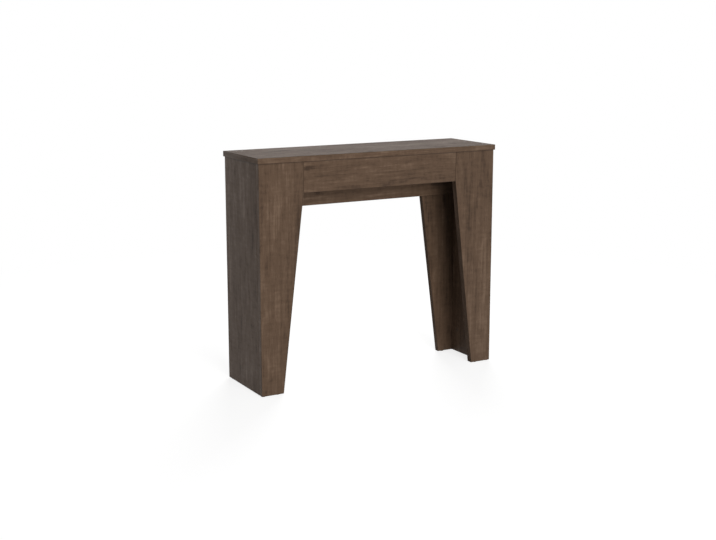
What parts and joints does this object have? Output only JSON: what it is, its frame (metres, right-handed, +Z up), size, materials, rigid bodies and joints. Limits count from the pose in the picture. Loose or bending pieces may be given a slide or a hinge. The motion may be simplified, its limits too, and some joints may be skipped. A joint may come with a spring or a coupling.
{
  "type": "extending console table",
  "caption": "Narrow console table in walnut finish board with tapered legs; its front frame pulls out from a nested rear frame on side-by-side telescopic slide rails to take loose leaves.",
  "frame": {"origin": "on the floor, under the middle of the closed table's top", "axes": "+X along the width to the right as seen from the front, +Y from the front towards the wall, +Z up"},
  "size_m": [0.9, 0.27, 0.77],
  "materials": {
    "walnut_board": "matt walnut grain laminate with fine open grain",
    "rail_aluminium": "natural anodised extrusion",
    "nylon": "moulded black nylon",
    "glide_plastic": "moulded brown plastic",
    "bumper_rubber": "soft black rubber",
    "zinc_steel": "bright zinc plate",
    "bracket_steel": "zinc plated pressed steel",
    "dowel_wood": "fluted beech"
  },
  "bodies": {
    "rear_frame": {"beam_screws": "zinc_steel", "closing_bumpers": "bumper_rubber", "inner_side_left": "walnut_board", "inner_side_right": "walnut_board", "rail_left_00": "rail_aluminium", "rail_right_00": "rail_aluminium", "rail_shoes_00": "nylon", "rail_side_screws": "zinc_steel", "rear_beam": "walnut_board", "rear_cam_bolts": "zinc_steel", "rear_cam_housings": "zinc_steel", "rear_dowels": "dowel_wood", "rear_glides": "glide_plastic", "rear_leg_left": "walnut_board", "rear_leg_right": "walnut_board"},
    "front_frame": {"apron_plates": "bracket_steel", "front_apron": "walnut_board", "front_cam_bolts": "zinc_steel", "front_cam_housings": "zinc_steel", "front_dowels": "dowel_wood", "front_glides": "glide_plastic", "front_leg_left": "walnut_board", "front_leg_right": "walnut_board", "front_screws": "zinc_steel", "hanger_rail_screws": "zinc_steel", "leaf_pin_sleeves": "nylon", "outer_side_left": "walnut_board", "outer_side_right": "walnut_board", "rail_hanger_left": "rail_aluminium", "rail_hanger_right": "rail_aluminium", "rail_left_09": "rail_aluminium", "rail_right_09": "rail_aluminium", "rail_shoes_09": "nylon", "table_top": "walnut_board", "top_brackets": "bracket_steel"},
    "rail_stage_01": {"rail_left_01": "rail_aluminium", "rail_right_01": "rail_aluminium", "rail_shoes_01": "nylon"},
    "rail_stage_02": {"rail_left_02": "rail_aluminium", "rail_right_02": "rail_aluminium", "rail_shoes_02": "nylon"},
    "rail_stage_03": {"rail_left_03": "rail_aluminium", "rail_right_03": "rail_aluminium", "rail_shoes_03": "nylon"},
    "rail_stage_04": {"rail_left_04": "rail_aluminium", "rail_right_04": "rail_aluminium", "rail_shoes_04": "nylon"},
    "rail_stage_05": {"rail_left_05": "rail_aluminium", "rail_right_05": "rail_aluminium", "rail_shoes_05": "nylon"},
    "rail_stage_06": {"rail_left_06": "rail_aluminium", "rail_right_06": "rail_aluminium", "rail_shoes_06": "nylon"},
    "rail_stage_07": {"rail_left_07": "rail_aluminium", "rail_right_07": "rail_aluminium", "rail_shoes_07": "nylon"},
    "rail_stage_08": {"rail_left_08": "rail_aluminium", "rail_right_08": "rail_aluminium", "rail_shoes_08": "nylon"}
  },
  "joints": [
    {"name": "extension", "type": "slide", "parent": "rear_frame", "child": "front_frame", "axis": [0, -1, 0], "range_m": [0, 1.35]},
    {"name": "rail_slide_01", "type": "slide", "parent": "rear_frame", "child": "rail_stage_01", "axis": [0, -1, 0], "range_m": [0, 0.15001]},
    {"name": "rail_slide_02", "type": "slide", "parent": "rear_frame", "child": "rail_stage_02", "axis": [0, -1, 0], "range_m": [0, 0.30001]},
    {"name": "rail_slide_03", "type": "slide", "parent": "rear_frame", "child": "rail_stage_03", "axis": [0, -1, 0], "range_m": [0, 0.45001]},
    {"name": "rail_slide_04", "type": "slide", "parent": "rear_frame", "child": "rail_stage_04", "axis": [0, -1, 0], "range_m": [0, 0.60001]},
    {"name": "rail_slide_05", "type": "slide", "parent": "rear_frame", "child": "rail_stage_05", "axis": [0, -1, 0], "range_m": [0, 0.75001]},
    {"name": "rail_slide_06", "type": "slide", "parent": "rear_frame", "child": "rail_stage_06", "axis": [0, -1, 0], "range_m": [0, 0.90001]},
    {"name": "rail_slide_07", "type": "slide", "parent": "rear_frame", "child": "rail_stage_07", "axis": [0, -1, 0], "range_m": [0, 1.05001]},
    {"name": "rail_slide_08", "type": "slide", "parent": "rear_frame", "child": "rail_stage_08", "axis": [0, -1, 0], "range_m": [0, 1.20001]}
  ],
  "couplings": [
    {"joint": "rail_slide_01", "follows": "extension", "ratio": 0.11111},
    {"joint": "rail_slide_02", "follows": "extension", "ratio": 0.22222},
    {"joint": "rail_slide_03", "follows": "extension", "ratio": 0.33333},
    {"joint": "rail_slide_04", "follows": "extension", "ratio": 0.44444},
    {"joint": "rail_slide_05", "follows": "extension", "ratio": 0.55556},
    {"joint": "rail_slide_06", "follows": "extension", "ratio": 0.66667},
    {"joint": "rail_slide_07", "follows": "extension", "ratio": 0.77778},
    {"joint": "rail_slide_08", "follows": "extension", "ratio": 0.88889}
  ]
}
